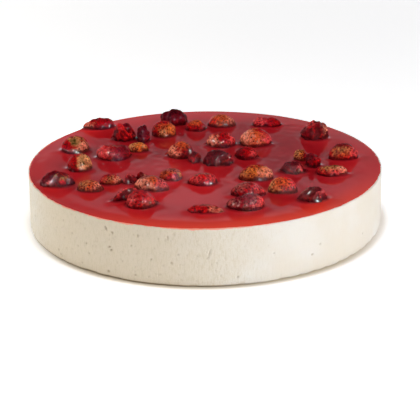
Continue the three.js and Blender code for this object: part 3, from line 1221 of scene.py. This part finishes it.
        # Painted shade: redder low on the flanks, darker in the folds, and darkest at the foot.
        layers = ((CRIMSON, self.FLANK_PART * (1 - eased(height + self.FLANK_RAGGED * ragged, *self.FLANK))),
                  (WINE, self.CREASE_PART * self.crease),
                  (INK, self.FOOT_PART * (1 - eased(height, line - self.FOOT_FADE, line))),
                  (WINE, self.PIP_PART * eased(self.near_pip, *self.PIP_EDGE)))
        for tone, part in layers:
            colour = colour * (1 - part[:, None]) + tone.light * part[:, None]
        colour = colour * (1 + self.SPECKLE_PART * self.rippled(*self.SPECKLE))[:, None]
        layer = piece.mesh.color_attributes.new(self.TINT, "FLOAT_COLOR", "POINT")
        layer.data.foreach_set("color", np.column_stack([colour.clip(0, 1), np.ones(len(colour))]).ravel())

    def patched(self) -> np.ndarray:
        """Gives the berry's own tone with its patches.

        Returns:
            One colour for each point, as linear light.
        """
        facing = turned(self.unit, self.look.turn)
        wander = sum(self.WANDER_PART * self.rippled(*field) for field in self.WANDER)
        colour = np.tile(self.look.tone.light, (len(facing), 1))
        for patch in self.look.patches:
            width = min(1, patch.spread / self.PATCH_WIDE)
            close = facing @ direction(patch.bearing, patch.tilt) + wander * width
            edge, blur = math.cos(math.radians(patch.spread)), self.PATCH_BLUR * width
            part = eased(close, edge - blur, edge + blur)[:, None]
            colour = colour * (1 - part) + patch.tone.light * part
        return colour

    def footprint(self) -> tuple[np.ndarray, np.ndarray]:
        """Measures the berry's outline at the jelly.

        Returns:
            Its centre and its half sizes, the sizes along its own turned axes.
        """
        flat = turned(self.points[np.abs(self.points[:, 2] - self.level) < self.SLICE][:, :2], -self.look.turn)
        low, high = flat.min(axis=0), flat.max(axis=0)
        return turned((low + high) / 2, self.look.turn), (high - low) / 2


@dataclass
class Pips:
    """All the berries' pips in one piece: small pointed beads that lie in their dimples."""

    berries: list[Berry]
    half_size: Triple = (0.58 * MM, 0.42 * MM, 0.24 * MM)
    sizes: Pair = (0.6, 1.2)
    seed: int = 600
    around: int = 6
    up: int = 4

    def build(self) -> Piece:
        """Makes the piece.

        Returns:
            The piece.
        """
        piece = Piece("berry_pips", "berry_dark", PipFinish().material())
        whole = bmesh.new()
        scratch = bpy.data.meshes.new("pip_batch")
        for berry in self.berries:
            batch = self.batch(berry)
            batch.to_mesh(scratch)
            batch.free()
            whole.from_mesh(scratch)
        bpy.data.meshes.remove(scratch)
        piece.take(whole)
        return piece

    def batch(self, berry: Berry) -> bmesh.types.BMesh:
        """Makes one berry's pips, their long sides toward its hull.

        Args:
            berry: The berry.

        Returns:
            The pips' shape.
        """
        batch = bmesh.new()
        hull = Vector(direction(*berry.look.hull))
        draw = np.random.default_rng(self.seed + berry.number)
        for index in berry.pips:
            normal = Vector(berry.normals[index])
            long = (hull - normal * hull.dot(normal)).normalized()
            size = draw.uniform(*self.sizes)
            axes = [axis * half * size for axis, half in zip((long, normal.cross(long), normal), self.half_size)]
            place = Matrix([[*row] for row in zip(*axes)]).to_4x4()
            place.translation = Vector(berry.points[index])
            bmesh.ops.create_uvsphere(batch, u_segments=self.around, v_segments=self.up, radius=1, matrix=place)
        return batch


@dataclass
class Jelly:
    """The jelly glaze: a soft level skin that climbs each berry and rounds over at its rim."""

    # Marks where the jelly climbs the berries, painted darker partly for its depth and partly as shade at their
    # feet.
    POOL = "pool"
    berries: list[Berry]
    cells: int = 290
    rounding: float = 0.34 * MM
    rounding_steps: int = 4
    side: float = 0.75 * MM
    inset: float = 0.8 * MM
    fall: float = 0.22 * MM
    fall_width: float = 12 * MM
    climb: float = 1.15 * MM
    climb_reach: float = 1.7 * MM
    climb_mean: float = 0.8
    climb_swing: float = 0.4
    pool_depth: float = 0.8
    pool_lifts: Pair = (0.25 * MM, 1.1 * MM)
    waver: Waver = Waver(0.3 * MM, 2.1)
    rim_relief: tuple[Relief, ...] = (
        Relief(0.16 * MM, Ripples(21, 9 * MM)), Relief(0.1 * MM, Ripples(24, 3.5 * MM)))
    top_relief: tuple[Relief, ...] = (
        Relief(0.035 * MM, Ripples(22, 34 * MM)), Relief(0.014 * MM, Ripples(23, 9 * MM)))

    def build(self) -> Piece:
        """Makes the piece: a disc with its relief, then its rounded rim and its flat back.

        Returns:
            The piece.
        """
        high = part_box("jelly_glaze")[1]
        self.level, self.back = high[2], high[2] - self.side
        self.radius = high[0] - self.waver.reach / 2 - self.inset
        piece = Piece("jelly", "glaze", JellyFinish().material(), ("jelly_glaze",))
        sheet = Sheet(self.cells, self.cells)
        flat = self.rounded(sheet.flat)
        sheet.bend(np.column_stack([flat, self.height(flat)]))
        self.add_rim(sheet.shape)
        bmesh.ops.recalc_face_normals(sheet.shape, faces=sheet.shape.faces)
        piece.take(sheet.shape)
        # Paints the climb at the berries darker: partly depth of jelly, partly painted shade.
        piece.mark(self.POOL, self.pool_depth * eased(self.lift(piece.read("co")[:, :2]), *self.pool_lifts))
        return piece

    def rounded(self, square: np.ndarray) -> np.ndarray:
        """Turns the points of a square grid into those of a disc with a wavering rim.

        Args:
            square: The grid's points.

        Returns:
            The disc's, as rows of two.
        """
        a, b = square[:, 0], square[:, 1]
        wide = np.abs(a) > np.abs(b)
        reach = np.where(wide, a, b)
        safe = np.where(reach == 0, 1, reach)
        angle = np.where(wide, math.pi / 4 * b / safe, math.pi / 2 - math.pi / 4 * a / safe)
        x, y = reach * np.cos(angle), reach * np.sin(angle)
        radius = self.radius - self.rounding + self.rim(np.arctan2(y, x))
        return np.column_stack([x * radius, y * radius])

    def rim(self, angle: np.ndarray) -> np.ndarray:
        """Gives how far the rim strays in and out.

        Args:
            angle: Places on the rim.

        Returns:
            How far out it lies at each.
        """
        places = self.radius * np.column_stack([np.cos(angle), np.sin(angle), np.zeros(len(angle))])
        return self.waver.at(angle) + sum(relief.at(places) for relief in self.rim_relief)

    def height(self, flat: np.ndarray) -> np.ndarray:
        """Gives the jelly's level: soft waves, the fall to the rim and the climb at each berry.

        Args:
            flat: Places on it, as rows of two.

        Returns:
            The height at each.
        """
        places = np.column_stack([flat, np.zeros(len(flat))])
        reach = np.hypot(flat[:, 0], flat[:, 1])
        fall = self.fall * eased(reach, self.radius - self.fall_width, self.radius)
        return self.level - fall + sum(relief.at(places) for relief in self.top_relief) + self.lift(flat)

    def lift(self, flat: np.ndarray) -> np.ndarray:
        """Gives how far the jelly has climbed at the berries.

        Args:
            flat: Places on it, as rows of two.

        Returns:
            The climb at each.
        """
        lift = np.zeros(len(flat))
        for berry in self.berries:
            middle, half = berry.footprint()
            x, y = turned(flat - middle, -berry.look.turn).T
            ring = np.hypot(x / half[0], y / half[1])
            beyond = np.maximum(0, (ring - 1) * half.mean())
            swing = self.climb_swing * np.sin(2 * np.arctan2(y, x) + berry.number)
            lift = np.maximum(lift, self.climb * (self.climb_mean + swing) * np.exp(-beyond / self.climb_reach))
        return lift

    def add_rim(self, shape: bmesh.types.BMesh) -> None:
        """Carries the disc's edge round its rim and down to its back, and closes it.

        Args:
            shape: The disc.
        """
        loop = [edge for edge in shape.edges if edge.is_boundary]
        carried = {vertex: vertex.co.copy() for edge in loop for vertex in edge.verts}
        for step in range(self.rounding_steps):
            turn = math.pi / 2 * (step + 1) / self.rounding_steps
            out, down = self.rounding * math.sin(turn), self.rounding * (1 - math.cos(turn))
            loop, carried = self.extend(shape, loop, carried, out, down)
        loop, _ = self.extend(shape, loop, carried, self.rounding, None)
        bmesh.ops.holes_fill(shape, edges=loop, sides=0)

    def extend(self, shape: bmesh.types.BMesh, loop: list[bmesh.types.BMEdge],
               carried: dict[bmesh.types.BMVert, Vector], out: float,
               down: float | None) -> tuple[list[bmesh.types.BMEdge], dict[bmesh.types.BMVert, Vector]]:
        """Adds one ring of faces outside an open edge.

        Args:
            shape: The shape that grows.
            loop: Its open edges.
            carried: For each point of the loop, the point of the disc's edge that it came from.
            out: How far the new ring lies outside the disc's edge.
            down: How far it lies below, or None for the level of the jelly's back.

        Returns:
            The new open edges, and the same record for their points.
        """
        before = {tuple(vertex.co): start for vertex, start in carried.items()}
        grown = bmesh.ops.extrude_edge_only(shape, edges=loop)["geom"]
        edges = [item for item in grown if isinstance(item, bmesh.types.BMEdge) and item.is_boundary]
        record = {vertex: before[tuple(vertex.co)] for edge in edges for vertex in edge.verts}
        for vertex, start in record.items():
            away = Vector((start.x, start.y, 0)).normalized()
            level = self.back if down is None else start.z - down
            vertex.co = Vector((start.x, start.y, level)) + away * out
        return edges, record


@dataclass(frozen=True)
class Lamp:
    """A flat lamp: its sides and distance in metres, and its bearing and tilt in degrees."""

    name: str
    wide: float
    tall: float
    brightness: float
    bearing: float
    tilt: float
    distance: float = 1.2
    colour: Triple = (1, 1, 1)
    diffuse: bool = True
    glossy: bool = True

    def build(self) -> None:
        """Makes the lamp, turned to the middle of the cake."""
        light = bpy.data.lights.new(self.name, "AREA")
        light.shape = "RECTANGLE"
        light.size, light.size_y = self.wide, self.tall
        light.energy = self.brightness * math.pi * self.wide * self.tall
        light.color = self.colour
        body = bpy.data.objects.new(self.name, light)
        body.location = Vector(direction(self.bearing, self.tilt)) * self.distance
        body.rotation_euler = body.location.to_track_quat("Z", "Y").to_euler()
        body.visible_camera = False
        body.visible_diffuse = self.diffuse
        body.visible_glossy = self.glossy
        bpy.context.scene.collection.objects.link(body)


@dataclass(frozen=True)
class Floor:
    """A wide glowing sheet of pale paper, with a narrow soft shade where the cake stands on it."""

    size: float = 6.0
    cells: int = 8
    pale: Shade = (243, 243, 243)
    dim: Shade = (240, 240, 240)
    clouds: Noise = Noise(3, 2)
    glow_span: Span = Span(0.4, 2.0, 0.5, 1)
    foot: Shade = (204, 190, 164)
    foot_reach: Span = Span(0.1285, 0.139, 1, 0)
    foot_side: Triple = (0, -1, 0)
    foot_span: Span = Span(0.03, 0.115, 0.35, 1)
    foot_glow: Span = Span(0, 1, 1, 0)
    soft: Shade = (214, 206, 198)
    soft_reach: Span = Span(0.127, 0.142, 1, 0)
    soft_side: Triple = (0.94, -0.34, 0)
    soft_span: Span = Span(0.08, 0.128)
    soft_glow: Span = Span(0, 1, 1, 0.5)
    roughness: float = 0.9
    shine: float = 0.1

    def build(self) -> None:
        """Lays the floor under the cake."""
        shape = bmesh.new()
        bmesh.ops.create_grid(shape, x_segments=self.cells, y_segments=self.cells, size=self.size)
        mesh = bpy.data.meshes.new("floor")
        shape.to_mesh(mesh)
        shape.free()
        mesh.materials.append(self.material())
        floor = bpy.data.objects.new("floor", mesh)
        bpy.context.scene.collection.objects.link(floor)

    def material(self) -> bpy.types.Material:
        """Makes the paper.

        Returns:
            The material.
        """
        made = Recipe("floor_paper")
        away = made.distance()
        foot = made.product(made.ramp(away, self.foot_reach),
                            made.ramp(made.along(self.foot_side), self.foot_span))
        soft = made.product(made.ramp(away, self.soft_reach),
                            made.ramp(made.along(self.soft_side), self.soft_span))
        glow = made.product(made.ramp(foot, self.foot_glow), made.ramp(away, self.glow_span))
        glow = made.product(made.ramp(soft, self.soft_glow), glow)
        colour = made.blend(made.noise(self.clouds), opaque(self.pale), opaque(self.dim))
        for share, tone in ((soft, self.soft), (foot, self.foot)):
            colour = made.blend(share, colour, opaque(tone))
        return made.finish(Base_Color=colour, Roughness=self.roughness, Specular_IOR_Level=self.shine,
                           Emission_Color=opaque((255, 255, 255)), Emission_Strength=glow)


@dataclass(frozen=True)
class Sky:
    """Dim air with pale patches behind and beside the cake, each banded in height and in width."""

    air: tuple[float, float, float, float] = (0.97, 0.98, 1.05, 1)
    dimness: float = 0.1
    back_heights: tuple[Pair, ...] = ((0.32, 0.0), (0.332, 0.12), (0.347, 0.34), (0.372, 0.27), (0.4, 0.0))
    back_widths: tuple[Pair, ...] = (
        (0.42, 0.1), (0.482, 1.0), (0.5, 0.84), (0.52, 0.77), (0.54, 0.72), (0.6, 0.15))
    low_heights: tuple[Pair, ...] = ((0.0, 0.24), (0.298, 0.22), (0.315, 0.1), (0.345, 0.0))
    low_widths: tuple[Pair, ...] = ((0.4, 1.25), (0.45, 0.7), (0.55, 0.7), (0.6, 1.0))
    side_heights: tuple[Pair, ...] = ((0, 0.7), (0.2, 0.7), (0.27, 0.0))
    side_widths: tuple[Pair, ...] = ((0.14, 0.0), (0.24, 1.0), (0.55, 1.0), (0.65, 0.0))

    def build(self) -> None:
        """Makes the air and its patches."""
        world = bpy.data.worlds.new("dome")
        world.use_nodes = True
        graph = Graph(world.node_tree)
        way = graph.add("ShaderNodeTexCoord").outputs["Generated"]
        split = graph.add("ShaderNodeSeparateXYZ", Vector=way).outputs
        aside = graph.reckon("ABSOLUTE", split["X"])
        across = graph.reckon("MULTIPLY_ADD", split["X"], 0.5, 0.5)
        patches = ((self.back_heights, self.back_widths, across), (self.low_heights, self.low_widths, across),
                   (self.side_heights, self.side_widths, aside))
        total = self.dimness
        for high, wide, source in patches:
            tall, broad = self.banded(graph, split["Z"], high), self.banded(graph, source, wide)
            total = graph.reckon("MULTIPLY_ADD", tall, broad, total)
        back = graph.tree.nodes["Background"]
        graph.feed(back.inputs["Color"], self.air)
        graph.feed(back.inputs["Strength"], total)
        bpy.context.scene.world = world

    @staticmethod
    def banded(graph: Graph, source: Socket, bands: tuple[Pair, ...]) -> Socket:
        """Adds a ramp of greys.

        Args:
            graph: The world's node tree.
            source: What the ramp is read at.
            bands: Places along the ramp and the grey at each.

        Returns:
            The ramp's output.
        """
        ramp = graph.add("ShaderNodeValToRGB", Fac=source)
        points = ramp.color_ramp.elements
        while len(points) < len(bands):
            points.new(0.5)
        for point, (spot, grey) in zip(points, bands):
            point.position = spot
            point.color = (grey, grey, grey, 1)
        return ramp.outputs["Color"]


@dataclass(frozen=True)
class Eye:
    """The camera: its place and focal length in metres and pixels, and its angles in radians."""

    frame_pixels: int = 420
    focal_pixels: float = 1239.6
    sensor: float = 36.0
    away: float = 0.8638
    height: float = 0.3427
    yaw: float = 0.0039
    pitch: float = 0.3749
    roll: float = -0.0096

    def build(self) -> None:
        """Places the camera where its frame shows the cake at the seen size and angle."""
        ahead = Vector((math.sin(self.yaw) * math.cos(self.pitch), math.cos(self.yaw) * math.cos(self.pitch),
                        -math.sin(self.pitch)))
        level = Vector((math.cos(self.yaw), -math.sin(self.yaw), 0))
        upright = level.cross(ahead)
        right = level * math.cos(self.roll) + upright * math.sin(self.roll)
        above = upright * math.cos(self.roll) - level * math.sin(self.roll)
        data = bpy.data.cameras.new("camera")
        data.sensor_width = self.sensor
        data.lens = self.focal_pixels / self.frame_pixels * self.sensor
        camera = bpy.data.objects.new("camera", data)
        place = Matrix([[*row] for row in zip(right, above, -ahead)]).to_4x4()
        place.translation = Vector((0, -self.away, self.height))
        camera.matrix_world = place
        bpy.context.scene.collection.objects.link(camera)
        bpy.context.scene.camera = camera


@dataclass(frozen=True)
class Studio:
    """The floor, the air, the lamps and the camera. Large lamps light the cake, small ones glint on it."""

    lamps: tuple[Lamp, ...] = (
        Lamp("right_window", 1.0, 0.6, 3.1, -34, 25, colour=(0.985, 0.99, 1.06), glossy=False),
        Lamp("left_window", 0.9, 0.6, 3.75, 168, 25, colour=(1.0, 0.95, 0.86), glossy=False),
        Lamp("over_window", 1.5, 1.5, 1.1, -70, 62, 1.5, glossy=False),
        Lamp("left_gleam", 0.14, 0.14, 140, 200, 26, diffuse=False),
        Lamp("right_glint", 0.11, 0.11, 1700, -54, 23, diffuse=False),
        Lamp("side_glint", 0.07, 0.07, 1700, -24, 30, diffuse=False),
        Lamp("front_glint", 0.06, 0.06, 1700, -86, 27, diffuse=False),
    )

    def build(self) -> None:
        """Makes the whole studio."""
        for part in (Floor(), Sky(), *self.lamps, Eye()):
            part.build()
        bpy.context.scene.view_settings.view_transform = "Standard"


def main() -> None:
    """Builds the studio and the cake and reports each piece."""
    logging.basicConfig(level=logging.INFO, format="%(message)s")
    Studio().build()
    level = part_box("jelly_glaze")[1][2]
    skin = BerryFinish().material()
    berries = [Berry(order + 1, look, level, skin) for order, look in enumerate(LOOKS)]
    pieces = [CreamBody().build()]
    pieces += [berry.build() for berry in berries]
    pieces.append(Pips(berries).build())
    pieces.append(Jelly(berries).build())
    for piece in pieces:
        log.info("%s: %d triangles", piece.object.name, piece.triangles())


if __name__ == "__main__":
    main()
